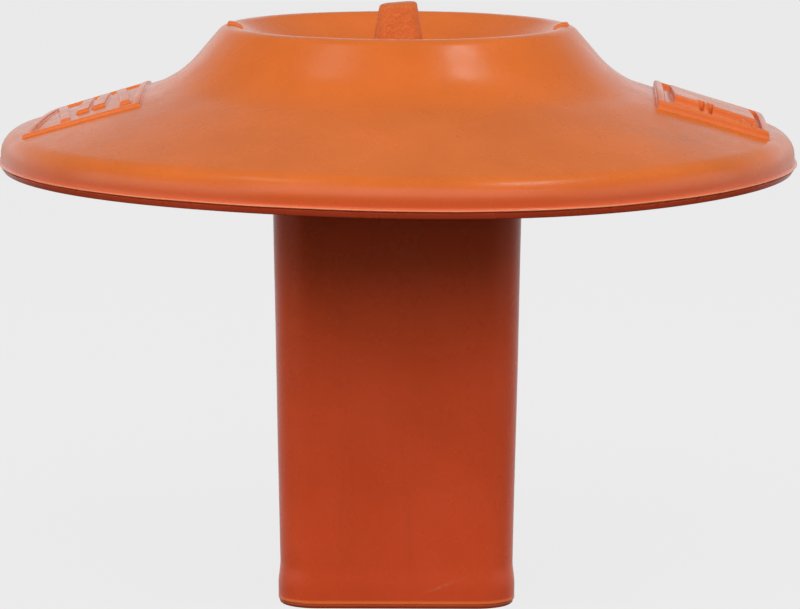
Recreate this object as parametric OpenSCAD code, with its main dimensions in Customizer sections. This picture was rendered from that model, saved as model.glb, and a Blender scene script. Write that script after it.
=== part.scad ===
// Batting tee head: a bell-shaped rubber cap with a ball dish and peg, on a square post.
// The ground is z = 0, the post stands on the origin, and the badges lie on the -X and +X sides.

/* [Cap] */
// Diameter of the cap over its rim, without the fin
cap_d = 199.4; // [190:0.2:208]
// Height of the rim's parting line above the ground
rim_z = 109.1; // [105:0.1:111]
// Height of the straight band above the parting line
rim_band = 2.5; // [2:0.1:4]
// Roll radius between the band and the cone
rim_roll = 5.95; // [5:0.05:7]
// Slope of the cone, in degrees
cone_slope = 17.7; // [16:0.1:19]
// Radius of the hollow curve between the cone and the neck
valley_r = 27; // [20:0.5:30]
// Slope of the neck under the dish lip, in degrees
neck_slope = 49.5; // [46:0.5:54]
// Wall thickness of the cap
cap_wall = 4; // [3:0.1:4]

/* [Dish] */
// Height of the dish lip above the ground
lip_z = 143.5; // [142:0.1:146]
// Diameter of the circle along the top of the dish lip
lip_d = 84; // [82:0.2:88]
// Roll radius of the dish lip
lip_roll = 4.1; // [4.1:0.05:4.6]
// Depth of the dish below its lip
dish_depth = 13; // [11:0.5:14]
// Slope of the dish wall, in degrees
dish_slope = 30; // [27:1:33]
// Radius of the curve between the dish wall and its floor
dish_r = 12; // [8:1:14]
// Length of a pip across the lip, width along it, and height above it
pip_size = [3.8, 3.2, 0.8]; // [0.5:0.1:5]

/* [Rim] */
// How far the thin fin stands out of the rim
fin_out = 0.8; // [0.4:0.1:1.2]
// Thickness of the fin
fin_t = 0.6; // [0.4:0.1:1]
// Depth of the lip under the fin
ring_drop = 1.4; // [1:0.1:2]
// How far that lip stands inside the rim
ring_inset = 0.5; // [0.4:0.1:2]
// Width of the rim ring's foot under the cap
ring_w = 7; // [6:0.5:10]

/* [Badges] */
// Height of the left badge above the cone
left_relief = 1; // [0.8:0.1:2]
// Height of the right badge's outline above the cone
right_relief = 1.9; // [1:0.1:2.2]
// Height of the right badge's panel above the cone
panel_relief = 2; // [1.5:0.1:2.6]
// Width of the bar round a badge
frame_bar = 1.8; // [1.2:0.1:2.5]
// Distance from the axis to the left badge's inner side
left_in = 63.5; // [62:0.5:66]
// Distance from the axis to the right badge's inner side
right_in = 64.9; // [64:0.1:67]
// Distance from the axis to the outer side of both badges
badge_out = 92.5; // [91:0.5:93]
// Width of a badge along its inner side
badge_in_w = 56; // [50:1:58]
// Width of a badge along its outer side
badge_out_w = 50; // [48:1:54]
// How far the left badge's outer side slants in at the back
left_slant = 5; // [0:0.5:6]
// How far the right badge leans out at the back and in at the front
right_lean = 0.9; // [0:0.1:2]

/* [Post] */
// Width across the post at its foot
post_w = 58; // [56:0.2:58.4]
// Width across the post at its top
post_top_w = 62.4; // [61:0.2:63]
// Radius of the post's corners
post_corner = 9; // [7:0.5:11]
// Width of the hollow inside the post
hollow_w = 51; // [46:0.5:52]
// Height of the post's top above the ground
post_top_z = 122; // [120:0.5:122]
// Width across the soft bead at the foot
bead_w = 59.2; // [58.6:0.1:61]
// Thickness of the foot plug's lip
foot_t = 1.2; // [1:0.1:2]
// Height of the foot plug's spigot inside the post
spigot_h = 12; // [8:1:20]

/* [Peg] */
// Width of the peg at its foot, level with the dish floor
peg_w = 15.6; // [14:0.2:18]
// Width of the peg just under its rounded top
peg_top_w = 9.6; // [8:0.2:10]
// Height of the peg's highest point above the ground
peg_z = 149.3; // [147:0.1:152]
// Radius of the stem that pushes into the bush
stem_r = 5; // [4:0.1:6]
// Length of the stem
stem_len = 16; // [12:1:17]

/* [Hidden] */

gap = 0.3;            // clearance between pieces that lift apart
stem_gap = 0.05;      // radial running clearance of the peg's stem
floor_z = lip_z - dish_depth;
under_z = floor_z - cap_wall;
high = 200;           // above everything
foot_w = bead_w - 0.6; // the foot plug's lip stands in a little under the bead
pip_in = 1.1;         // the pips' middles lie this far inside the crest of the lip
hollow_corner = 5;    // corner radius inside the post
pocket_corner = 3;    // corner radius of the foot plug's pocket

rubber = [0.86, 0.42, 0.19];
rubber_dark = [0.72, 0.33, 0.15];
rubber_light = [0.90, 0.50, 0.27];

// ---- Profile of the cap: arcs that meet tangentially ----

// Unit vector at an angle from the radius axis
function dir(a) = [cos(a), sin(a)];

// Points along an arc from angle a to angle b, both included
function arc(c, r, a, b, n) = [for (i = [0 : n]) c + r * dir(a + (b - a) * i / n)];

// The point that lies p along unit vector m and q along unit vector n
function meet(m, p, n, q) =
    let (det = m.x * n.y - m.y * n.x) [(p * n.y - q * m.y) / det, (q * m.x - p * n.x) / det];

function reversed(list) = [for (i = [len(list) - 1 : -1 : 0]) list[i]];

roll_c = [cap_d / 2 - rim_roll, rim_z + rim_band];
lip_c = [lip_d / 2, lip_z - lip_roll];
cone_dir = dir(90 - cone_slope);
neck_dir = dir(90 - neck_slope);
dish_dir = dir(90 + dish_slope);
valley_c = meet(cone_dir, roll_c * cone_dir + rim_roll + valley_r,
                neck_dir, lip_c * neck_dir + lip_roll + valley_r);
dish_c = meet(dish_dir, lip_c * dish_dir + lip_roll + dish_r, [0, 1], floor_z + dish_r);

// The top of the dish lip, moved depth into the rubber
function lip_arc(depth) = arc(lip_c, lip_roll - depth, 90 + dish_slope, 90 - neck_slope, 12);

// The dish and its lip, moved depth into the rubber
function dish_line(depth) = concat(
    [[0, floor_z - depth]],
    arc(dish_c, dish_r + depth, -90, dish_slope - 90, 5),
    lip_arc(depth));

// The cone and the rim roll, moved depth into the rubber
function cone_line(depth) = concat(
    arc(valley_c, valley_r + depth, 270 - neck_slope, 270 - cone_slope, 8),
    arc(roll_c, rim_roll - depth, 90 - cone_slope, 0, 10));

function cap_line(depth) = concat(
    dish_line(depth),
    cone_line(depth),
    [[cap_d / 2 - depth, rim_z]]);

// Everything above the underside of the cap, to cut parts that end against it
module above_cap_underside() {
    rotate_extrude($fn = 128)
        polygon(concat(cap_line(cap_wall), [[cap_d / 2 - cap_wall, high], [0, high]]));
}

// A layer of the given height lying on the cone and rim roll
module cone_layer(height) {
    rotate_extrude($fn = 128)
        polygon(concat(cone_line(0), reversed(cone_line(-height))));
}

// A layer of the given height lying on the dish lip
module lip_layer(height) {
    rotate_extrude($fn = 128)
        polygon(concat(lip_arc(0), reversed(lip_arc(-height))));
}

// ---- Round-cornered squares ----

module round_square(width, corner) {
    side = width - 2 * corner;
    square([width, side], center = true);
    square([side, width], center = true);
    for (x = [-1, 1], y = [-1, 1])
        translate([x, y] * side / 2) circle(r = corner, $fn = 48);
}

// ---- Post ----

module drafted_post() {
    translate([0, 0, foot_t])
        linear_extrude(height = post_top_z - foot_t, scale = post_top_w / post_w)
            round_square(post_w, post_corner);
}

// The soft bead: four sections as [height above the foot plug, width across]
module foot_bead() {
    sections = [[0, foot_w], [1, bead_w], [4.5, bead_w], [8.5, post_w]];
    hull()
        for (section = sections)
            translate([0, 0, foot_t + section[0]])
                linear_extrude(height = 0.01) round_square(section[1], post_corner);
}

module post_tube() {
    color(rubber_dark)
        difference() {
            union() {
                drafted_post();
                foot_bead();
            }
            translate([0, 0, -1])
                linear_extrude(height = high) round_square(hollow_w, hollow_corner);
        }
}

module foot_plug() {
    plug_wall = 4;
    plug_floor = 3;
    color(rubber_dark)
        difference() {
            union() {
                linear_extrude(height = foot_t) round_square(foot_w, post_corner);
                linear_extrude(height = foot_t + spigot_h) round_square(hollow_w, hollow_corner);
            }
            translate([0, 0, foot_t + plug_floor])
                linear_extrude(height = spigot_h) round_square(hollow_w - 2 * plug_wall, pocket_corner);
        }
}

// ---- Cap ----

bush_r = 8;           // outside radius of the bush where it passes through the dish floor
socket_top_z = under_z;
socket_plate_z = post_top_z + gap;
socket_foot_z = rim_z - ring_drop;
socket_wall = 4;
socket_in = post_top_w + 2 * gap;
socket_out = socket_in + 2 * socket_wall;

module bush_hole() {
    translate([0, 0, rim_z]) cylinder(r = bush_r, h = high, $fn = 64);
}

// The thin fin left round the rim at the parting line, tapering to half its thickness
module rim_fin() {
    root_r = cap_d / 2 - 1;
    tip_r = cap_d / 2 + fin_out;
    translate([0, 0, rim_z])
        rotate_extrude($fn = 128)
            polygon([[root_r, 0], [tip_r, fin_t / 4], [tip_r, 3 * fin_t / 4], [root_r, fin_t]]);
}

module cap_shell() {
    color(rubber)
        difference() {
            union() {
                rotate_extrude($fn = 128)
                    polygon(concat(cap_line(0), reversed(cap_line(cap_wall))));
                rim_fin();
            }
            bush_hole();
        }
}

module rim_ring() {
    lip_r = cap_d / 2 - ring_inset;
    chamfer = 0.5;
    in_r = cap_d / 2 - cap_wall;
    upstand_t = 2;
    foot_r = cap_d / 2 - ring_w;
    color(rubber_dark)
        translate([0, 0, rim_z])
            rotate_extrude($fn = 128)
                polygon([[foot_r, -ring_drop], [lip_r - chamfer, -ring_drop],
                         [lip_r, chamfer - ring_drop], [lip_r, 0], [in_r, 0], [in_r, rim_band],
                         [in_r - upstand_t, rim_band], [foot_r, 0]]);
}

module post_socket() {
    color(rubber)
        difference() {
            translate([0, 0, socket_foot_z])
                linear_extrude(height = high - socket_foot_z)
                    round_square(socket_out, post_corner + socket_wall);
            translate([0, 0, socket_foot_z - 1])
                linear_extrude(height = socket_plate_z - socket_foot_z + 1)
                    round_square(socket_in, post_corner);
            translate([0, 0, socket_top_z])
                linear_extrude(height = high) round_square(socket_in, post_corner);
            bush_hole();
            above_cap_underside();
        }
}

module peg_bush() {
    flange_r = bush_r + 4;
    flange_t = 3;
    end_z = floor_z - stem_len - 1;
    color(rubber_dark)
        difference() {
            union() {
                translate([0, 0, end_z]) cylinder(r = bush_r, h = floor_z - end_z, $fn = 64);
                translate([0, 0, socket_plate_z - flange_t]) cylinder(r = flange_r, h = flange_t, $fn = 64);
            }
            translate([0, 0, end_z - 1]) cylinder(r = stem_r + stem_gap, h = high, $fn = 64);
        }
}

module dish_pips() {
    color(rubber_light)
        intersection() {
            lip_layer(pip_size.z);
            for (side = [-1, 1])
                translate([side * (lip_d / 2 - pip_in), 0, lip_z])
                    cube([pip_size.x, pip_size.y, 4 * pip_size.z], center = true);
        }
}

// ---- Peg ----

module ball_peg() {
    foot_z = floor_z + gap;
    corner = 4.5;
    crown_h = 1.3;        // height of the rounded top
    crown_w = 6.2;        // width across the very top
    crown_t = 0.1;
    body_h = peg_z - crown_h - foot_z;
    color(rubber_light) {
        hull() {
            translate([0, 0, foot_z])
                linear_extrude(height = body_h, scale = peg_top_w / peg_w) round_square(peg_w, corner);
            translate([0, 0, peg_z - crown_t])
                linear_extrude(height = crown_t) round_square(crown_w, corner / 2);
        }
        translate([0, 0, floor_z - stem_len]) cylinder(r = stem_r, h = stem_len + 1, $fn = 64);
    }
}

// ---- Badges: raised outlines with plain marks, drawn from above on the +X side ----

// A plan shape raised above the cone by the given height
module raised(height) {
    intersection() {
        cone_layer(height);
        translate([0, 0, rim_z]) linear_extrude(height = lip_z - rim_z) children();
    }
}

// Outline of a badge moved in by the same distance all round. slant draws its outer side in at the back,
// and lean moves its back out and its front in
module badge_plan(inner, slant, lean, inset) {
    near = inner + inset;
    far = badge_out - inset;
    half_in = badge_in_w / 2 - inset;
    half_out = badge_out_w / 2 - inset;
    polygon([[near - lean, -half_in], [far - lean, -half_out],
             [far - slant + lean, half_out], [near + lean, half_in]]);
}

module badge_frame(inner, slant, lean, height) {
    raised(height)
        difference() {
            badge_plan(inner, slant, lean, 0);
            badge_plan(inner, slant, lean, frame_bar);
        }
}

// Plain marks of the left badge: two blocks between two leaning strokes
module left_marks() {
    stroke_w = 2.4;
    stroke_y = [-20, 14];
    lean = 3;
    block = [3, 25];
    block_y = -13;
    for (x = [left_in + 2.8, badge_out - 11.5])
        polygon([[x, stroke_y[0]], [x + stroke_w, stroke_y[0]],
                 [x + stroke_w + lean, stroke_y[1]], [x + lean, stroke_y[1]]]);
    for (x = [left_in + 9.5, left_in + 13.5])
        translate([x, block_y]) square(block);
}

// Plain panel of the right badge, with two notches in its front edge
module right_panel() {
    panel = [badge_out - right_in - 7.2, 24];
    panel_x = right_in + 4;
    panel_y = -13;
    notch = [1.1, 3];
    difference() {
        translate([panel_x, panel_y]) square(panel);
        for (x = [panel_x + 6.2, panel_x + 8.4])
            translate([x, panel_y - 1]) square([notch.x, notch.y + 1]);
    }
}

// Two studs in front of the panel
module right_studs() {
    stud_y = -19;
    for (x = [badge_out - 6.9, badge_out - 4.1])
        translate([x, stud_y]) circle(r = 1, $fn = 24);
}

module left_badge_frame() {
    color(rubber_light) mirror([1, 0, 0]) badge_frame(left_in, left_slant, 0, left_relief);
}

module left_badge_emblem() {
    color(rubber_light) mirror([1, 0, 0]) raised(left_relief) left_marks();
}

module right_badge_frame() {
    color(rubber_light) badge_frame(right_in, 0, right_lean, right_relief);
}

module right_badge_emblem() {
    color(rubber_light) {
        raised(panel_relief) right_panel();
        raised(right_relief) right_studs();
    }
}

post_tube();
foot_plug();
cap_shell();
rim_ring();
post_socket();
peg_bush();
dish_pips();
left_badge_frame();
left_badge_emblem();
right_badge_frame();
right_badge_emblem();
ball_peg();
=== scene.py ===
"""Looks of the batting tee head: a bell-shaped rubber cap with a ball dish and peg, on a square post.

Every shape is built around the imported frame. Lengths are in millimetres until a mesh is made, and
in metres in the materials, the lights and the camera.
"""

import math

import bmesh
import bpy
from mathutils import Euler, Matrix, Vector, noise


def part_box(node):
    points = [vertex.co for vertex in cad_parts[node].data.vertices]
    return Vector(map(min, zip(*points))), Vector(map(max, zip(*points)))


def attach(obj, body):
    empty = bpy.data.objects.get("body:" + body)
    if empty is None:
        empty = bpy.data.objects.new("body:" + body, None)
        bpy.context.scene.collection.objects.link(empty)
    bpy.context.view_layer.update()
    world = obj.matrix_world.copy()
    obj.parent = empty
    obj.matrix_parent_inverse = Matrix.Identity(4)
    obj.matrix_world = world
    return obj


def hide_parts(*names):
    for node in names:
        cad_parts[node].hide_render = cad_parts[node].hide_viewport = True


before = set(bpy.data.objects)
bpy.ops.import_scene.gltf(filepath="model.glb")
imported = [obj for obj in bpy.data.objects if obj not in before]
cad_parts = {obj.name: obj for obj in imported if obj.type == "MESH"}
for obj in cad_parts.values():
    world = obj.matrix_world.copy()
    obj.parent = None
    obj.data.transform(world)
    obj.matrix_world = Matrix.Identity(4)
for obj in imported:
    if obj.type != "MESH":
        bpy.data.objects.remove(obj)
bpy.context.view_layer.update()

MM = 0.001


# ---------------------------------------------------------------- sizes, from the frame

def box_mm(node):
    """Lowest and highest corner of a CAD node, in millimetres."""
    low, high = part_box(node)
    return low / MM, high / MM


CAP_LOW, CAP_HIGH = box_mm("cap_shell")
RING_LOW, RING_HIGH = box_mm("rim_ring")
POST_LOW, POST_HIGH = box_mm("post_tube")
FOOT_LOW, FOOT_HIGH = box_mm("foot_plug")
PEG_LOW, PEG_HIGH = box_mm("ball_peg")
BUSH_HIGH = box_mm("peg_bush")[1]
PIPS_HIGH = box_mm("dish_pips")[1]

FIN_OUT = 0.8                        # the thin fin stands this far out of the rim
CAP_R = CAP_HIGH.x - FIN_OUT         # radius of the rim without the fin
RIM_Z = CAP_LOW.z                    # parting line of the rim
LIP_Z = CAP_HIGH.z                   # top of the dish lip
FLOOR_Z = BUSH_HIGH.z                # dish floor
WALL = 4.0
BUSH_R = 8.0

RIM_BAND = 2.5
RIM_ROLL = 5.95
CONE_SLOPE = 17.7
VALLEY_R = 27.0
SAG = 1.0                            # the flange's rim hangs this much lower on one side
SAG_SIDE = math.radians(-68)
NECK_SLOPE = 49.5
LIP_R = 42.0
LIP_ROLL = 4.1
DISH_SLOPE = 30.0
DISH_R = 12.0

POST_W = 58.0                        # across the post at its foot
POST_TOP_W = POST_HIGH.x - POST_LOW.x
POST_CORNER = 9.0
HOLLOW_W = 51.0
BEAD_W = 59.2                        # across the soft bead round the foot
BEAD_FULL = 3.5                      # the bead keeps its width up to here
BEAD_FADE = 6.0                      # and fades out over this much more
BEAD_FLATTER = 0.6                   # share of the bead that is missing at the front and back
RIDGE_UP = 0.35                      # height of the thin ridge above the post's bottom

PEG_W = PEG_HIGH.x - PEG_LOW.x
PEG_TOP_W = 9.6
STEM_R = 5.0

LEFT_RELIEF = 0.8                    # heights above the cone
RIGHT_RELIEF = 1.9
PANEL_RELIEF = 2.0
FRAME_BAR = 1.8
LEFT_IN = 63.5                       # inner sides of the badges, from the axis
RIGHT_IN = 64.9
BADGE_OUT = 92.5
BADGE_IN_W = 56.0
BADGE_OUT_W = 50.0
LEFT_SLANT = 5.0
RIGHT_LEAN = 0.9


# ---------------------------------------------------------------- profile of the cap

def direction(angle):
    """Unit vector at an angle in degrees from the radius axis."""
    return Vector((math.cos(math.radians(angle)), math.sin(math.radians(angle))))


def arc(centre, radius, start, end, count):
    """Points along an arc, both ends included."""
    return [centre + radius * direction(start + (end - start) * i / count) for i in range(count + 1)]


def line(start, end, count):
    """Points along a straight stretch, without its ends."""
    return [start.lerp(end, i / count) for i in range(1, count)]


def meet(m, p, n, q):
    """The point that lies p along unit vector m and q along unit vector n."""
    det = m.x * n.y - m.y * n.x
    return Vector(((p * n.y - q * m.y) / det, (q * m.x - p * n.x) / det))


ROLL_C = Vector((CAP_R - RIM_ROLL, RIM_Z + RIM_BAND))
LIP_C = Vector((LIP_R, LIP_Z - LIP_ROLL))
CONE_N = direction(90 - CONE_SLOPE)
NECK_N = direction(90 - NECK_SLOPE)
DISH_N = direction(90 + DISH_SLOPE)
VALLEY_C = meet(CONE_N, ROLL_C.dot(CONE_N) + RIM_ROLL + VALLEY_R,
                NECK_N, LIP_C.dot(NECK_N) + LIP_ROLL + VALLEY_R)
DISH_C = meet(DISH_N, LIP_C.dot(DISH_N) + LIP_ROLL + DISH_R,
              Vector((0, 1)), FLOOR_Z + DISH_R)


def cap_line(depth):
    """The cap's surface from the bush hole out to the rim roll's end, moved depth into the rubber."""
    dish = arc(DISH_C, DISH_R + depth, -90, DISH_SLOPE - 90, 8)
    lip = arc(LIP_C, max(LIP_ROLL - depth, 0.2), 90 + DISH_SLOPE, 90 - NECK_SLOPE, 20)
    valley = arc(VALLEY_C, VALLEY_R + depth, 270 - NECK_SLOPE, 270 - CONE_SLOPE, 14)
    roll = arc(ROLL_C, RIM_ROLL - depth, 90 - CONE_SLOPE, 0, 14)
    start = Vector((BUSH_R, FLOOR_Z - depth))
    return ([start] + line(start, dish[0], 4) + dish
            + line(dish[-1], lip[0], 10) + lip
            + line(lip[-1], valley[0], 3) + valley
            + line(valley[-1], roll[0], 16) + roll)


OUTSIDE = [p for p in cap_line(0) if p.x > LIP_R]


def cone_height(radius):
    """Height and slope of the cap's outside at a radius beyond the lip."""
    for near, far in zip(OUTSIDE, OUTSIDE[1:]):
        if near.x <= radius <= far.x:
            share = (radius - near.x) / (far.x - near.x)
            return near.y + (far.y - near.y) * share, (near.y - far.y) / (far.x - near.x)
    return OUTSIDE[-1].y, 1.0


def sag(x, y):
    """How far the soft flange hangs down. It sags most at the front right, near the rim."""
    reach = max(0.0, (math.hypot(x, y) - LIP_R) / (CAP_R - LIP_R))
    facing = max(0.0, math.cos(math.atan2(y, x) - SAG_SIDE))
    return SAG * reach ** 2 * facing ** 6


# ---------------------------------------------------------------- mesh building

def finish_mesh(bm, name, body, material, replaced):
    """Turns a bmesh in millimetres into a smooth piece that stands for CAD nodes."""
    bmesh.ops.recalc_face_normals(bm, faces=bm.faces)
    bmesh.ops.scale(bm, vec=Vector((MM, MM, MM)), verts=bm.verts)
    mesh = bpy.data.meshes.new(name)
    bm.to_mesh(mesh)
    bm.free()
    mesh.polygons.foreach_set("use_smooth", [True] * len(mesh.polygons))
    piece = bpy.data.objects.new(name, mesh)
    bpy.context.scene.collection.objects.link(piece)
    mesh.materials.append(material)
    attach(piece, body)
    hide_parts(*replaced)
    return piece


def join_loops(bm, loops, cyclic=False):
    """Skins closed loops that all have the same number of points. Unless the last loop joins the
    first, both ends are closed."""
    rows = [[bm.verts.new(p) for p in loop] for loop in loops]
    count = len(rows[0])
    pairs = list(zip(rows, rows[1:]))
    ends = (rows[0], rows[-1])
    if cyclic:
        pairs.append((rows[-1], rows[0]))
        ends = ()
    for low, high in pairs:
        for i in range(count):
            j = (i + 1) % count
            bm.faces.new((low[i], low[j], high[j], high[i]))
    for row in ends:
        centre = bm.verts.new(sum((v.co for v in row), Vector()) / count)
        for i in range(count):
            bm.faces.new((row[i], row[(i + 1) % count], centre))


def waviness(point, size, amount):
    """A slow, smooth unevenness, as a moulding has."""
    return noise.noise(point / size) * amount


def soften(points, radii, steps=4):
    """A closed profile with its corners rounded. A radius of 0 leaves the corner."""
    result = []
    count = len(points)
    for i, corner in enumerate(points):
        radius = radii[i]
        if not radius:
            result.append(corner)
            continue
        back = (points[i - 1] - corner).normalized()
        on = (points[(i + 1) % count] - corner).normalized()
        half = back.angle(on) / 2
        reach = radius / math.tan(half)
        start, end = corner + back * reach, corner + on * reach
        for k in range(steps + 1):
            t = k / steps
            result.append(start * (1 - t) ** 2 + corner * (2 * t * (1 - t)) + end * t ** 2)
    return result


# ---------------------------------------------------------------- materials

class Nodes:
    """Short names for building the nodes of a material or of the world."""

    def __init__(self, owner, shader="Principled BSDF", coordinates="Object"):
        owner.use_nodes = True
        self.tree = owner.node_tree
        self.shader = self.tree.nodes[shader]
        self.place = self.add("ShaderNodeTexCoord").outputs[coordinates]

    def add(self, kind, **values):
        node = self.tree.nodes.new(kind)
        for key, value in values.items():
            setattr(node, key, value)
        return node

    def link(self, source, target):
        self.tree.links.new(source, target)

    def stretched(self, scale):
        node = self.add("ShaderNodeMapping")
        node.inputs["Scale"].default_value = scale
        self.link(self.place, node.inputs["Vector"])
        return node.outputs["Vector"]

    def noise(self, scale, detail=2.0, roughness=0.5, where=None):
        node = self.add("ShaderNodeTexNoise")
        node.inputs["Scale"].default_value = scale
        node.inputs["Detail"].default_value = detail
        node.inputs["Roughness"].default_value = roughness
        self.link(where or self.place, node.inputs["Vector"])
        return node.outputs["Fac"]

    def cells(self, scale):
        """Distance from the middle of the nearest cell, and that cell's own random colour."""
        node = self.add("ShaderNodeTexVoronoi")
        node.inputs["Scale"].default_value = scale
        self.link(self.place, node.inputs["Vector"])
        return node.outputs["Distance"], node.outputs["Color"]

    def radius(self):
        """Distance from the vertical axis, in metres."""
        node = self.add("ShaderNodeVectorMath", operation="LENGTH")
        self.link(self.stretched((1.0, 1.0, 0.0)), node.inputs[0])
        return node.outputs["Value"]

    def height(self):
        node = self.add("ShaderNodeSeparateXYZ")
        self.link(self.place, node.inputs[0])
        return node.outputs["Z"]

    def ramp(self, value, low, high, from_value=0.0, to_value=1.0):
        node = self.add("ShaderNodeMapRange")
        node.inputs["From Min"].default_value = low
        node.inputs["From Max"].default_value = high
        node.inputs["To Min"].default_value = from_value
        node.inputs["To Max"].default_value = to_value
        self.link(value, node.inputs["Value"])
        return node.outputs["Result"]

    def maths(self, operation, a, b):
        node = self.add("ShaderNodeMath", operation=operation)
        for socket, value in zip(node.inputs, (a, b)):
            if isinstance(value, (int, float)):
                socket.default_value = value
            else:
                self.link(value, socket)
        return node.outputs[0]

    def mix(self, share, a, b):
        node = self.add("ShaderNodeMix", data_type="RGBA")
        self.link(share, node.inputs["Factor"])
        for socket, value in ((node.inputs[6], a), (node.inputs[7], b)):
            if isinstance(value, tuple):
                socket.default_value = (*value, 1.0)
            else:
                self.link(value, socket)
        return node.outputs[2]

    def blot(self, centre, radius):
        """1 near a point in metres, falling to 0 at the radius, with a ragged edge."""
        node = self.add("ShaderNodeVectorMath", operation="DISTANCE")
        self.link(self.place, node.inputs[0])
        node.inputs[1].default_value = centre
        near = self.ramp(node.outputs["Value"], 0.0, radius, 1.0, 0.0)
        ragged = self.ramp(self.noise(260, 4.0, 0.65), 0.42, 0.62)
        return self.maths("MULTIPLY", near, ragged)

    def scratch(self, centre, length, width, lean):
        """1 along a short leaning scratch on a face that looks along Y, fading to its ends."""
        away = self.add("ShaderNodeVectorMath", operation="SUBTRACT")
        self.link(self.place, away.inputs[0])
        away.inputs[1].default_value = centre
        turned_back = self.add("ShaderNodeVectorRotate", rotation_type="Y_AXIS")
        self.link(away.outputs["Vector"], turned_back.inputs["Vector"])
        turned_back.inputs["Angle"].default_value = lean
        scaled = self.add("ShaderNodeVectorMath", operation="MULTIPLY")
        self.link(turned_back.outputs["Vector"], scaled.inputs[0])
        scaled.inputs[1].default_value = (1 / length, 1 / length, 1 / width)
        reach = self.add("ShaderNodeVectorMath", operation="LENGTH")
        self.link(scaled.outputs["Vector"], reach.inputs[0])
        along = self.ramp(reach.outputs["Value"], 0.0, 1.0, 1.0, 0.0)
        return self.maths("MULTIPLY", along, self.ramp(self.noise(900, 3.0, 0.6), 0.35, 0.6))

    def bump(self, value, strength, distance, after=None):
        node = self.add("ShaderNodeBump")
        node.inputs["Strength"].default_value = strength
        node.inputs["Distance"].default_value = distance
        self.link(value, node.inputs["Height"])
        if after:
            self.link(after, node.inputs["Normal"])
        return node.outputs["Normal"]


GRIME = (0.10, 0.045, 0.025)
STAINED = (0.40, 0.22, 0.15)
SCRATCHED = (0.78, 0.30, 0.16)
MATTE_SPECULAR = 0.3


def rubber(name, base, grain=1.0, streaks=0.0, blots=(), scratches=(), band=None, edge=None):
    """Orange rubber: slow mottling, fine grain, a few dark specks and a slightly uneven skin.

    band is (full below this height, none above this one, colour), and edge is (none inside this
    radius, full beyond this one, colour); both are used for painted shade and painted highlights.
    A blot is (centre, radius, strength), and a scratch is (centre, length, width, lean).
    """
    material = bpy.data.materials.new(name)
    n = Nodes(material)
    paler = tuple(min(c * 1.05 + 0.004, 1.0) for c in base)
    darker = tuple(c * 0.93 for c in base)
    mottle = n.ramp(n.noise(38, 4.0, 0.6), 0.32, 0.68)
    colour = n.mix(mottle, darker, paler)
    if band:
        low, high, tone = band
        colour = n.mix(n.ramp(n.height(), low, high, 1.0, 0.0), colour, tone)
    if edge:
        inside, outside, tone = edge
        colour = n.mix(n.ramp(n.radius(), inside, outside), colour, tone)
    fine = n.ramp(n.noise(1400, 3.0, 0.7), 0.3, 0.7, 0.0, 0.08)
    colour = n.mix(fine, colour, darker)
    if streaks:
        thin = n.noise(1.0, 3.0, 0.6, n.stretched((260.0, 260.0, 14.0)))
        colour = n.mix(n.ramp(thin, 0.54, 0.74, 0.0, streaks), colour, tuple(c * 0.55 for c in base))
    distance, pick = n.cells(123)
    chosen = n.ramp(pick, 0.74, 0.76)
    specks = n.maths("MULTIPLY", n.ramp(distance, 0.02, 0.07, 0.55, 0.0), chosen)
    colour = n.mix(specks, colour, GRIME)
    for centre, radius, strength in blots:
        stain = n.maths("MULTIPLY", n.blot(centre, radius), strength)
        colour = n.mix(stain, colour, STAINED)
    for centre, length, width, lean in scratches:
        mark = n.maths("MULTIPLY", n.scratch(centre, length, width, lean), 0.4)
        colour = n.mix(mark, colour, SCRATCHED)
    n.link(colour, n.shader.inputs["Base Color"])
    n.link(n.ramp(n.noise(85, 4.0, 0.6), 0.3, 0.7, 0.22, 0.33), n.shader.inputs["Roughness"])
    n.shader.inputs["Specular IOR Level"].default_value = MATTE_SPECULAR
    slow = n.bump(n.noise(70, 2.0, 0.5), 0.25, 0.0004)
    skin = n.bump(n.noise(1700, 3.0, 0.6), 0.15 * grain, 0.00006, slow)
    n.link(skin, n.shader.inputs["Normal"])
    return material


def grainy_rubber(name, base):
    """The peg's rubber: fine-grained and slightly torn."""
    material = bpy.data.materials.new(name)
    n = Nodes(material)
    darker = tuple(c * 0.82 for c in base)
    paler = tuple(min(c * 1.08 + 0.01, 1.0) for c in base)
    pits = n.noise(1700, 6.0, 0.7)
    colour = n.mix(n.ramp(pits, 0.36, 0.66), darker, paler)
    n.link(colour, n.shader.inputs["Base Color"])
    n.link(n.ramp(pits, 0.3, 0.7, 0.62, 0.48), n.shader.inputs["Roughness"])
    n.shader.inputs["Specular IOR Level"].default_value = MATTE_SPECULAR
    grains, _ = n.cells(2400)
    rough = n.bump(grains, 0.4, 0.00006)
    n.link(n.bump(pits, 0.5, 0.00009, rough), n.shader.inputs["Normal"])
    return material


ORANGE = (0.765, 0.185, 0.024)
# Painted shade: the post is the cap's orange made redder, as its forward-facing faces get less light
# than the cap's top.
POST_SHADE_ORANGE = (0.765, 0.104, 0.027)
# Painted shade: the lip under the fin is a redder copy of the cap's orange.
RIM_SHADE_ORANGE = (0.80, 0.104, 0.034)
CAP_ROLL_SHADE_ORANGE = (0.77, 0.138, 0.034)       # the cap is redder just above its rim: painted shade on the rolled rim's forward-facing side
FIN_HIGHLIGHT_ORANGE = (0.86, 0.32, 0.14)             # and paler along the fin: a painted highlight
RIDGE_HIGHLIGHT_ORANGE = (0.95, 0.24, 0.05)           # the ridge round the post's foot is bright: a painted highlight

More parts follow.
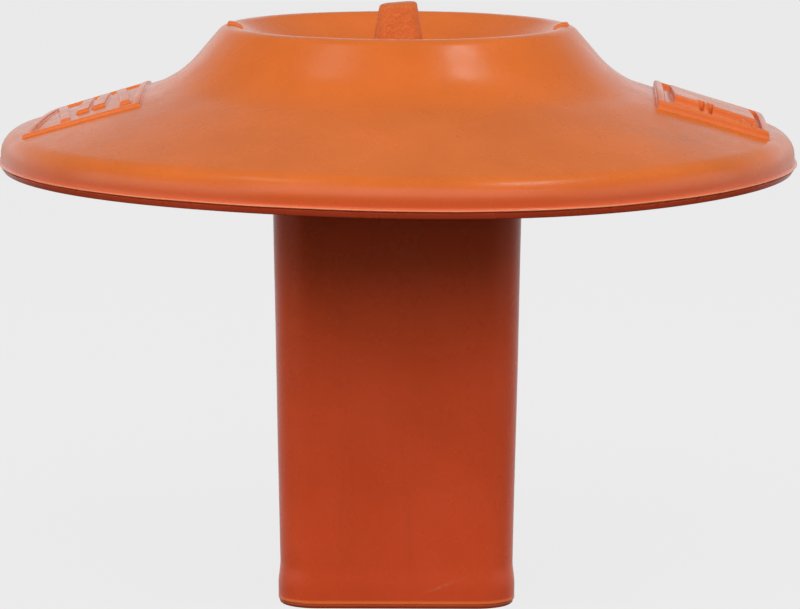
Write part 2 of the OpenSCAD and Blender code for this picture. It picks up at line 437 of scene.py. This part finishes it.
CAP_RUBBER = rubber(
    "cap_rubber", ORANGE,
    band=((RIM_Z + 1.4) * MM, (RIM_Z + 5.9) * MM, CAP_ROLL_SHADE_ORANGE),
    edge=((CAP_R + 0.1) * MM, (CAP_R + 0.4) * MM, FIN_HIGHLIGHT_ORANGE),
    blots=(((0.074, -0.046, 0.121), 0.016, 0.25), ((0.062, -0.052, 0.122), 0.010, 0.2)))
RIM_RUBBER = rubber("rim_rubber", RIM_SHADE_ORANGE)
# A slightly paler copy of the cap's orange: a painted highlight on the raised badges.
BADGE_HIGHLIGHT_RUBBER = rubber("badge_rubber", tuple(c * 1.04 for c in ORANGE))
POST_RUBBER = rubber(
    "post_rubber", POST_SHADE_ORANGE, streaks=0.12,
    band=((POST_LOW.z + 0.4) * MM, (POST_LOW.z + 1.0) * MM, RIDGE_HIGHLIGHT_ORANGE),
    scratches=(((0.013, -0.029, 0.0065), 0.006, 0.0005, 0.35),
               ((0.010, -0.029, 0.0052), 0.004, 0.0004, 0.30)))
# A darker copy of the post's orange for the foot's lip: painted shade under the post.
FOOT_SHADE_RUBBER = rubber("foot_rubber", tuple(c * 0.6 for c in POST_SHADE_ORANGE))
# A darker copy of the orange for the pieces inside the cap and the dish: painted shade.
INNER_SHADE_RUBBER = rubber("inner_rubber", tuple(c * 0.85 for c in ORANGE), grain=1.5)
PEG_RUBBER = grainy_rubber("peg_rubber", tuple(c * 0.95 for c in ORANGE))


# ---------------------------------------------------------------- turned pieces

TURN_STEPS = 384


def turned(profile, shape):
    """Loops of a closed profile turned about the vertical axis. shape(point, angle) gives the radius
    and height that a profile point has at an angle."""
    loops = []
    for point in profile:
        loop = []
        for k in range(TURN_STEPS):
            angle = 2 * math.pi * k / TURN_STEPS
            radius, height = shape(point, angle)
            loop.append(Vector((radius * math.cos(angle), radius * math.sin(angle), height)))
        loops.append(loop)
    return loops


def make_cap():
    """The bell-shaped shell: dish, lip, cone, rolled rim with its thin moulding fin, and underside."""
    fin_r = CAP_R + FIN_OUT - 0.12
    fin_z = RIM_Z + 0.5
    rim = [Vector(p) for p in (
        (CAP_R, RIM_Z + 1.9), (CAP_R, RIM_Z + 1.2), (CAP_R + 0.04, fin_z + 0.42),
        (CAP_R + 0.3, fin_z + 0.2), (fin_r - 0.1, fin_z + 0.12), (fin_r, fin_z),
        (fin_r - 0.1, fin_z - 0.12), (CAP_R + 0.15, fin_z - 0.2),
        (CAP_R + 0.1, RIM_Z + 0.02), (CAP_R - 1.6, RIM_Z))]
    inner = list(reversed(cap_line(WALL)))
    foot = [Vector((CAP_R - WALL + 0.3, RIM_Z)), Vector((CAP_R - WALL, RIM_Z + 0.3))]
    profile = cap_line(0) + rim + foot + inner

    def shape(point, angle):
        around = Vector((math.cos(angle), math.sin(angle), 0))
        radius, height = point.x, point.y
        if radius > CAP_R + 0.02:
            ragged = waviness(around * 100, 6.0, 0.16) + waviness(around * 100, 1.7, 0.07)
            share = (radius - CAP_R) / FIN_OUT
            radius += share * min(ragged, 0.1)
            height += share * waviness(around * 100 + Vector((7, 3, 1)), 17.0, 0.12)
        elif LIP_R - 12 < radius < CAP_R - 1:
            height += waviness(around * radius + Vector((0, 0, height)), 34.0, 0.12)
        height -= sag(radius * around.x, radius * around.y)
        return radius, min(height, LIP_Z)

    bm = bmesh.new()
    join_loops(bm, turned(profile, shape), cyclic=True)
    return finish_mesh(bm, "cap", "cap", CAP_RUBBER, ["cap_shell"])


def make_rim_ring():
    """The narrower lip under the fin, with its inner upstand."""
    out_r, top = RING_HIGH.x, RIM_Z
    in_r = CAP_R - WALL
    foot_r = in_r - 3.0
    bottom = RING_LOW.z - 0.1               # the soft edge hangs a little below the plain ring
    top_r = out_r + 0.75                    # and leans out to the fin
    corners = [Vector(p) for p in (
        (foot_r, bottom), (out_r - 0.2, bottom), (top_r, top - 0.02), (in_r - 0.02, top - 0.02),
        (in_r - 0.02, RING_HIGH.z), (in_r - 2, RING_HIGH.z), (foot_r, top))]
    profile = soften(corners, [0.4, 0.55, 0.06, 0, 0.3, 0.3, 0.3])

    def shape(point, angle):
        return point.x, point.y - sag(point.x * math.cos(angle), point.x * math.sin(angle))

    bm = bmesh.new()
    join_loops(bm, turned(profile, shape), cyclic=True)
    return finish_mesh(bm, "rim_lip", "cap", RIM_RUBBER, ["rim_ring"])


# ---------------------------------------------------------------- square pieces

def square_loop(width, corner, height, per_side=12):
    """A round-cornered square, counter-clockwise from the middle of its +X side."""
    half = width / 2
    flat = half - corner
    per_corner = 12
    points = []
    for quarter in range(4):
        turn = math.pi / 2 * quarter
        side = [Vector((half, flat * (2 * i / per_side - 1))) for i in range(per_side // 2, per_side)]
        bend = [Vector((flat + corner * math.cos(a), flat + corner * math.sin(a)))
                for a in (math.pi / 2 * i / per_corner for i in range(per_corner))]
        rest = [Vector((flat - 2 * flat * i / per_side, half)) for i in range(per_side // 2)]
        for p in side + bend + rest:
            points.append(Vector((p.x * math.cos(turn) - p.y * math.sin(turn),
                                  p.x * math.sin(turn) + p.y * math.cos(turn), height)))
    return points


def make_post():
    """The drafted, hollow post with the soft bead and thin ridge round its foot. The bead stands out
    less at the front and back."""
    bottom, top = POST_LOW.z, POST_HIGH.z

    def bead_share(up):
        fade = min(max((up - BEAD_FULL) / BEAD_FADE, 0.0), 1.0)
        return 1 - fade * fade * (3 - 2 * fade)

    def width_at(z):
        up = z - bottom
        drafted = POST_W + (POST_TOP_W - POST_W) * up / (top - bottom)
        ridge = math.exp(-((up - RIDGE_UP) / 0.3) ** 2)
        return drafted + (BEAD_W - POST_W) * bead_share(up) + 0.1 * ridge

    heights = [bottom + 0.02, bottom + 0.14, bottom + 0.28, bottom + 0.45, bottom + 0.65, bottom + 0.9]
    heights += [bottom + 1.2 + 0.45 * i for i in range(22)]
    heights += [heights[-1] + (top - 0.8 - heights[-1]) * (i + 1) / 44 for i in range(44)]
    loops = []
    for z in heights:
        corner = POST_CORNER * width_at(z) / POST_W
        loop = square_loop(width_at(z), corner, z)
        flatter = 1 - BEAD_FLATTER * (BEAD_W / POST_W - 1) * bead_share(z - bottom)
        for p in loop:
            swell = 1 + waviness(p + Vector((11, 5, 0)), 42.0, 0.0035)
            p.x *= swell
            p.y *= swell * flatter
        loops.append(loop)
    top_corner = POST_CORNER * POST_TOP_W / POST_W
    for inset, z in ((0.1, top - 0.4), (0.35, top - 0.1), (0.8, top)):
        loops.append(square_loop(width_at(top) - 2 * inset, top_corner - inset, z))
    hollow_corner = POST_CORNER - 4
    for inset, z in ((-0.8, top), (-0.3, top - 0.15), (0, top - 0.6)):
        loops.append(square_loop(HOLLOW_W - 2 * inset, hollow_corner, z))
    loops += [square_loop(HOLLOW_W, hollow_corner, top + (bottom - top) * i / 12) for i in range(1, 13)]
    bm = bmesh.new()
    join_loops(bm, loops, cyclic=True)
    return finish_mesh(bm, "post", "post", POST_RUBBER, ["post_tube"])


def make_foot():
    """The plug in the post's end: a thin rounded lip below, a hollow spigot above."""
    top = FOOT_HIGH.z
    lip_t = POST_LOW.z
    inner = HOLLOW_W - 0.1
    corner = POST_CORNER - 4
    pocket = HOLLOW_W - 8
    lip_w = FOOT_HIGH.x - FOOT_LOW.x
    steps = [(lip_w - 5, POST_CORNER - 2, 0.0), (lip_w - 1.4, POST_CORNER, 0.0),
             (lip_w - 0.7, POST_CORNER, 0.08), (lip_w - 0.25, POST_CORNER, 0.3),
             (lip_w - 0.05, POST_CORNER, 0.6), (lip_w - 0.1, POST_CORNER, lip_t - 0.2),
             (lip_w - 0.3, POST_CORNER, lip_t - 0.02), (inner + 0.6, corner, lip_t),
             (inner, corner, lip_t + 0.3), (inner, corner, top - 0.5),
             (inner - 0.3, corner, top - 0.15), (inner - 1, corner, top),
             (pocket + 1, 3.4, top), (pocket + 0.3, 3.1, top - 0.15), (pocket, 3, top - 0.5),
             (pocket, 3, lip_t + 3.5), (pocket - 0.4, 3, lip_t + 3.1), (pocket - 2, 3, lip_t + 3)]
    bm = bmesh.new()
    join_loops(bm, [square_loop(w, c, z) for w, c, z in steps])
    return finish_mesh(bm, "foot", "post", FOOT_SHADE_RUBBER, ["foot_plug"])


def make_peg():
    """The tapered peg with its grainy sides, rounded and slightly tilted top, and its stem."""
    foot_z, tip_z = FLOOR_Z + 0.3, PEG_HIGH.z
    shoulder_z = tip_z - 1.3
    tilt = 0.085

    def loop(width, corner, z, slope=0.0):
        points = square_loop(width, corner, z, per_side=24)
        for p in points:
            p.z += slope * p.x
        return points

    count = len(loop(1, 0.3, 0))
    stem = [(STEM_R - 0.6, PEG_LOW.z), (STEM_R - 0.15, PEG_LOW.z + 0.15), (STEM_R, PEG_LOW.z + 0.6),
            (STEM_R, foot_z - 0.2)]
    loops = []
    for radius, z in stem:
        loops.append([Vector((radius * math.cos(a), radius * math.sin(a), z))
                      for a in (2 * math.pi * k / count for k in range(count))])
    for inset, z in ((1.5, foot_z), (0.3, foot_z), (0.05, foot_z + 0.15)):
        loops.append(loop(PEG_W - 2 * inset, 4.4, z))
    rows = 56
    for i in range(1, rows + 1):
        share = i / rows
        width = PEG_W + (PEG_TOP_W - PEG_W) * share ** 0.94
        corner = 4.4 + (2.5 - 4.4) * share
        height = foot_z + 0.15 + (shoulder_z - foot_z - 0.15) * share
        loops.append(loop(width, corner, height, tilt * share))
    rounding = ((0.1, 0.3), (0.3, 0.6), (0.65, 0.82), (1.1, 0.93), (1.8, 0.97), (2.8, 0.98), (3.8, 0.98))
    for inset, rise in rounding:
        width = PEG_TOP_W - 2 * inset
        loops.append(loop(width, min(2.5, width / 2 - 0.02), shoulder_z + rise, tilt))
    for row in loops[len(stem) + 2:]:
        for p in row:
            out = Vector((p.x, p.y, 0))
            if out.length > 0.5:
                grain = waviness(p, 0.55, 0.13) + waviness(p, 1.3, 0.10) - 0.06
                p.xy = (p + out.normalized() * grain).xy
            p.z = min(p.z + waviness(p, 0.9, 0.05), tip_z)
    bm = bmesh.new()
    join_loops(bm, loops)
    return finish_mesh(bm, "peg", "peg", PEG_RUBBER, ["ball_peg"])


# ---------------------------------------------------------------- raised badges

# Height of a raised edge against the distance in from its outline, for a relief of 1
EDGE = ((-0.55, -0.35), (-0.42, -0.03), (-0.2, 0.04), (-0.04, 0.17), (0.03, 0.62),
        (0.12, 0.84), (0.3, 0.96), (0.6, 1.0))
EDGE_LINES = [d for d, _ in EDGE]
SUNK = 0.9                           # a raised piece reaches this far below the cap's skin
INSIDE = 99.0                        # stands for a distance from the outline beyond every edge line


def edge_height(distance, relief):
    """Height above the skin at a distance in from the outline."""
    if distance <= EDGE[0][0]:
        return EDGE[0][1] * relief
    for (d0, h0), (d1, h1) in zip(EDGE, EDGE[1:]):
        if distance <= d1:
            return relief * (h0 + (h1 - h0) * (distance - d0) / (d1 - d0))
    return relief


def on_cap(x, y, height):
    """The point at that height above the cap's outside, measured square to the cone."""
    z, slope = cone_height(math.hypot(x, y))
    return Vector((x, y, z - sag(x, y) + height * math.sqrt(1 + slope * slope)))


def grid_lines(length, edges, spacing):
    """Distances along one side: the given ones from both ends, and evenly spaced ones between."""
    last = edges[-1]
    middle = max(2, round((length - 2 * last) / spacing))
    near = [(d, d) for d in edges]
    between = [(last + (length - 2 * last) * i / middle, None) for i in range(1, middle)]
    far = [(length - d, d) for d in reversed(edges)]
    return near + between + far


def raised_patch(bm, corners, height_at, edges=EDGE_LINES, spacing=0.8, keep=None, place=on_cap):
    """A raised quadrilateral. corners are near-inner, near-outer, far-outer and far-inner, in plan.

    height_at(distance, x, y) gives the height. keep(nearest, furthest) says whether a cell stays, from
    its corners' distances to the outline.
    """
    a, b, c, d = (Vector(p) for p in corners)
    across = ((b - a).length + (c - d).length) / 2
    along = ((d - a).length + (c - b).length) / 2
    us = grid_lines(across, edges, spacing)
    vs = grid_lines(along, edges, spacing)
    top, low, inset = {}, {}, {}
    for i, (u, du) in enumerate(us):
        for j, (v, dv) in enumerate(vs):
            s, t = u / across, v / along
            p = a.lerp(b, s).lerp(d.lerp(c, s), t)
            distance = min(x for x in (du, dv, INSIDE) if x is not None)
            inset[i, j] = distance
            top[i, j] = place(p.x, p.y, height_at(distance, p.x, p.y))
            low[i, j] = place(p.x, p.y, -SUNK)
    cells = [(i, j) for i in range(len(us) - 1) for j in range(len(vs) - 1)]
    if keep:
        cells = [(i, j) for i, j in cells
                 if keep(min(inset[i + di, j + dj] for di in (0, 1) for dj in (0, 1)),
                         max(inset[i + di, j + dj] for di in (0, 1) for dj in (0, 1)))]
    made = {}

    def vert(level, key):
        if (level, key) not in made:
            made[level, key] = bm.verts.new((top if level else low)[key])
        return made[level, key]

    sides = {}
    for i, j in cells:
        ring = [(i, j), (i + 1, j), (i + 1, j + 1), (i, j + 1)]
        bm.faces.new([vert(1, k) for k in ring])
        bm.faces.new([vert(0, k) for k in reversed(ring)])
        for start, end in zip(ring, ring[1:] + ring[:1]):
            if (end, start) in sides:
                del sides[end, start]
            else:
                sides[start, end] = True
    for start, end in sides:
        bm.faces.new((vert(1, end), vert(1, start), vert(0, start), vert(0, end)))


def filled(relief):
    """Height rule of a raised shape that is filled in."""
    return lambda distance, x, y: edge_height(distance, relief)


def bar_only(relief):
    """Height rule of an outline whose bar is FRAME_BAR wide."""
    return lambda distance, x, y: edge_height(min(distance, FRAME_BAR - distance), relief)


def frame_cells(nearest, furthest):
    """The cells of the outline, and not those of its window."""
    return nearest < FRAME_BAR + 0.5 and furthest < INSIDE


def badge_corners(side, inner, slant, lean):
    """Corners of a badge. Its front leans in by lean and its back out. slant cuts its outer side."""
    half_in, half_out = BADGE_IN_W / 2, BADGE_OUT_W / 2
    return [(side * (inner - lean), -half_in), (side * (BADGE_OUT - lean), -half_out),
            (side * (BADGE_OUT - slant + lean), half_out), (side * (inner + lean), half_in)]


def make_frame(name, corners, relief, replaced):
    """A raised badge outline on one side of the cone."""
    lines = EDGE_LINES[:-1] + [FRAME_BAR / 2] + [FRAME_BAR - d for d in reversed(EDGE_LINES[:-1])]
    bm = bmesh.new()
    raised_patch(bm, corners, bar_only(relief), lines, keep=frame_cells)
    return finish_mesh(bm, name, "cap", BADGE_HIGHLIGHT_RUBBER, [replaced])


def make_left_marks():
    """Two blocks between two leaning strokes."""
    stroke_w, lean = 2.4, 3.0
    height_at = filled(LEFT_RELIEF)
    bm = bmesh.new()
    for x in (LEFT_IN + 2.8, BADGE_OUT - 11.5):
        raised_patch(bm, [(-x, -20), (-x - stroke_w, -20), (-x - stroke_w - lean, 14), (-x - lean, 14)],
                     height_at)
    for x in (LEFT_IN + 9.5, LEFT_IN + 13.5):
        raised_patch(bm, [(-x, -13), (-x - 3, -13), (-x - 3, 12), (-x, 12)], height_at)
    return finish_mesh(bm, "left_badge_marks", "cap", BADGE_HIGHLIGHT_RUBBER,
                       ["left_badge_emblem"])


def make_right_marks():
    """A panel with two notches in its front edge, and two studs in front of it."""
    panel_in, panel_out = RIGHT_IN + 4.0, BADGE_OUT - 3.2
    front, back = -13.0, 11.0
    notch_w, notch_end = 1.1, front + 3

    def notched(distance, x, y):
        for low in (panel_in + 6.2, panel_in + 8.4):
            inside = min(x - low, low + notch_w - x, notch_end - y)
            distance = min(distance, -inside)
        return edge_height(distance, PANEL_RELIEF)

    bm = bmesh.new()
    raised_patch(bm, [(panel_in, front), (panel_out, front), (panel_out, back), (panel_in, back)],
                 notched, spacing=0.3)
    stud_y = -19.0
    stud = ((1.35, -SUNK), (1.35, -0.1), (1.12, 0.12), (0.98, 0.6), (0.9, 1.4), (0.7, 1.75), (0.4, 1.88))
    for x in (BADGE_OUT - 6.9, BADGE_OUT - 4.1):
        loops = []
        for radius, height in stud:
            loops.append([on_cap(x + radius * math.cos(a), stud_y + radius * math.sin(a), height)
                          for a in (2 * math.pi * k / 28 for k in range(28))])
        join_loops(bm, loops)
    return finish_mesh(bm, "right_badge_marks", "cap", BADGE_HIGHLIGHT_RUBBER,
                       ["right_badge_emblem"])


def make_pips():
    """The two small raised blocks on the dish lip."""
    length, width, rise = 3.8, 3.2, PIPS_HIGH.z - LIP_Z
    middle = LIP_R - 1.1
    bm = bmesh.new()
    for side in (-1, 1):

        def place(x, y, height, side=side):
            radius = math.hypot(x, y)
            offset = max(-1.0, min(1.0, (radius - LIP_R) / (LIP_ROLL + 0.2)))
            skin = LIP_C.y + (LIP_ROLL + 0.2) * math.sqrt(1 - offset * offset) - 0.2
            return Vector((x, y, skin + height))

        low, high = side * (middle - length / 2), side * (middle + length / 2)
        raised_patch(bm, [(low, -width / 2), (high, -width / 2), (high, width / 2), (low, width / 2)],
                     filled(rise), spacing=0.4, place=place)
    return finish_mesh(bm, "lip_pips", "cap", CAP_RUBBER, ["dish_pips"])


make_cap()
make_rim_ring()
make_post()
make_foot()
make_peg()
make_frame("left_badge_outline", badge_corners(-1, LEFT_IN, LEFT_SLANT, 0),
           LEFT_RELIEF, "left_badge_frame")
make_frame("right_badge_outline", badge_corners(1, RIGHT_IN, 0, RIGHT_LEAN),
           RIGHT_RELIEF, "right_badge_frame")
make_left_marks()
make_right_marks()
make_pips()

for node in ("post_socket", "peg_bush"):
    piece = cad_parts[node]
    piece.data.materials.clear()
    piece.data.materials.append(INNER_SHADE_RUBBER)


# ---------------------------------------------------------------- floor, light and camera

def make_floor():
    """Pale paper that glows softly, so that it stays even. It sends no light back up to the object."""
    half = 6.0
    mesh = bpy.data.meshes.new("floor")
    corners = [(-half, -half, 0), (half, -half, 0), (half, half, 0), (-half, half, 0)]
    mesh.from_pydata(corners, [], [(0, 1, 2, 3)])
    floor = bpy.data.objects.new("floor", mesh)
    bpy.context.scene.collection.objects.link(floor)
    floor.visible_diffuse = False
    floor.visible_glossy = False
    floor.location.z = -0.0001
    paper = bpy.data.materials.new("floor_paper")
    n = Nodes(paper)
    shade = n.mix(n.noise(3.0, 2.0), (0.050, 0.050, 0.050), (0.056, 0.056, 0.056))
    n.link(shade, n.shader.inputs["Base Color"])
    n.shader.inputs["Roughness"].default_value = 0.9
    n.shader.inputs["Specular IOR Level"].default_value = 0.0
    n.shader.inputs["Emission Color"].default_value = (1.0, 1.0, 1.0, 1.0)
    n.shader.inputs["Emission Strength"].default_value = 0.80
    mesh.materials.append(paper)


def area_light(name, place, target, size, power, colour=(1, 1, 1)):
    light = bpy.data.lights.new(name, "AREA")
    light.shape = "RECTANGLE"
    light.size, light.size_y = size
    light.energy = power
    light.color = colour
    lamp = bpy.data.objects.new(name, light)
    bpy.context.scene.collection.objects.link(lamp)
    lamp.location = place
    lamp.rotation_euler = (Vector(target) - Vector(place)).to_track_quat("-Z", "Y").to_euler()


def make_world():
    """A dim white tent with a bright sweep of paper low behind the object, and dark floor in front."""
    world = bpy.data.worlds.new("studio")
    bpy.context.scene.world = world
    n = Nodes(world, "Background", "Generated")
    split = n.add("ShaderNodeSeparateXYZ")
    n.link(n.place, split.inputs[0])
    ahead, up = split.outputs["Y"], split.outputs["Z"]
    tent = n.ramp(up, -0.06, 0.10, 0.02, 0.27)
    sweep = n.maths("MULTIPLY", n.ramp(ahead, 0.15, 0.75, 0.0, 1.15), n.ramp(up, 0.15, 0.62, 1.0, 0.14))
    sweep = n.maths("MULTIPLY", sweep, n.ramp(up, 0.0, 0.10))
    paper = n.maths("MULTIPLY", n.ramp(ahead, -0.10, 0.55, 0.0, 0.75), n.ramp(up, -0.45, -0.15))
    paper = n.maths("MULTIPLY", paper, n.ramp(up, 0.0, 0.10, 1.0, 0.0))
    n.link(n.maths("MAXIMUM", tent, n.maths("ADD", sweep, paper)), n.shader.inputs["Strength"])
    cool = n.mix(n.ramp(sweep, 0.0, 0.5), (1.0, 1.0, 1.0), (0.84, 0.93, 1.0))
    n.link(cool, n.shader.inputs["Color"])


def make_lights():
    make_world()
    area_light("right_soft", (0.53, -0.18, 1.33), (0, 0, 0.1), (0.20, 0.08), 1.8, (0.62, 0.96, 1.0))
    area_light("left_soft", (-0.51, -0.26, 1.26), (0, 0, 0.1), (0.45, 0.26), 1.0, (0.75, 0.96, 1.0))
    area_light("front_soft", (0.0, -1.28, 1.03), (0, 0, 0.06), (2.6, 1.1), 19.6, (1.0, 0.72, 0.78))
    area_light("left_side", (-1.4, -0.5, 0.4), (0, 0, 0.06), (1.8, 0.9), 6.5)
    area_light("right_side", (1.4, -0.3, 0.4), (0, 0, 0.06), (1.8, 0.9), 5.0)


def make_camera():
    """A long lens a little above the cap, looking slightly down."""
    camera_data = bpy.data.cameras.new("camera")
    camera = bpy.data.objects.new("camera", camera_data)
    bpy.context.scene.collection.objects.link(camera)
    camera_data.lens = 202.7
    camera_data.sensor_width = 36.0
    camera.location = (0.00070, -1.129, 0.2392)
    tilt_down = 0.14662
    roll = 0.003
    turn = Euler((math.pi / 2 - tilt_down, 0, 0)).to_matrix() @ Matrix.Rotation(roll, 3, "Z")
    camera.rotation_euler = turn.to_euler()
    bpy.context.scene.camera = camera


make_floor()
make_lights()
make_camera()
bpy.context.scene.view_settings.view_transform = "Standard"
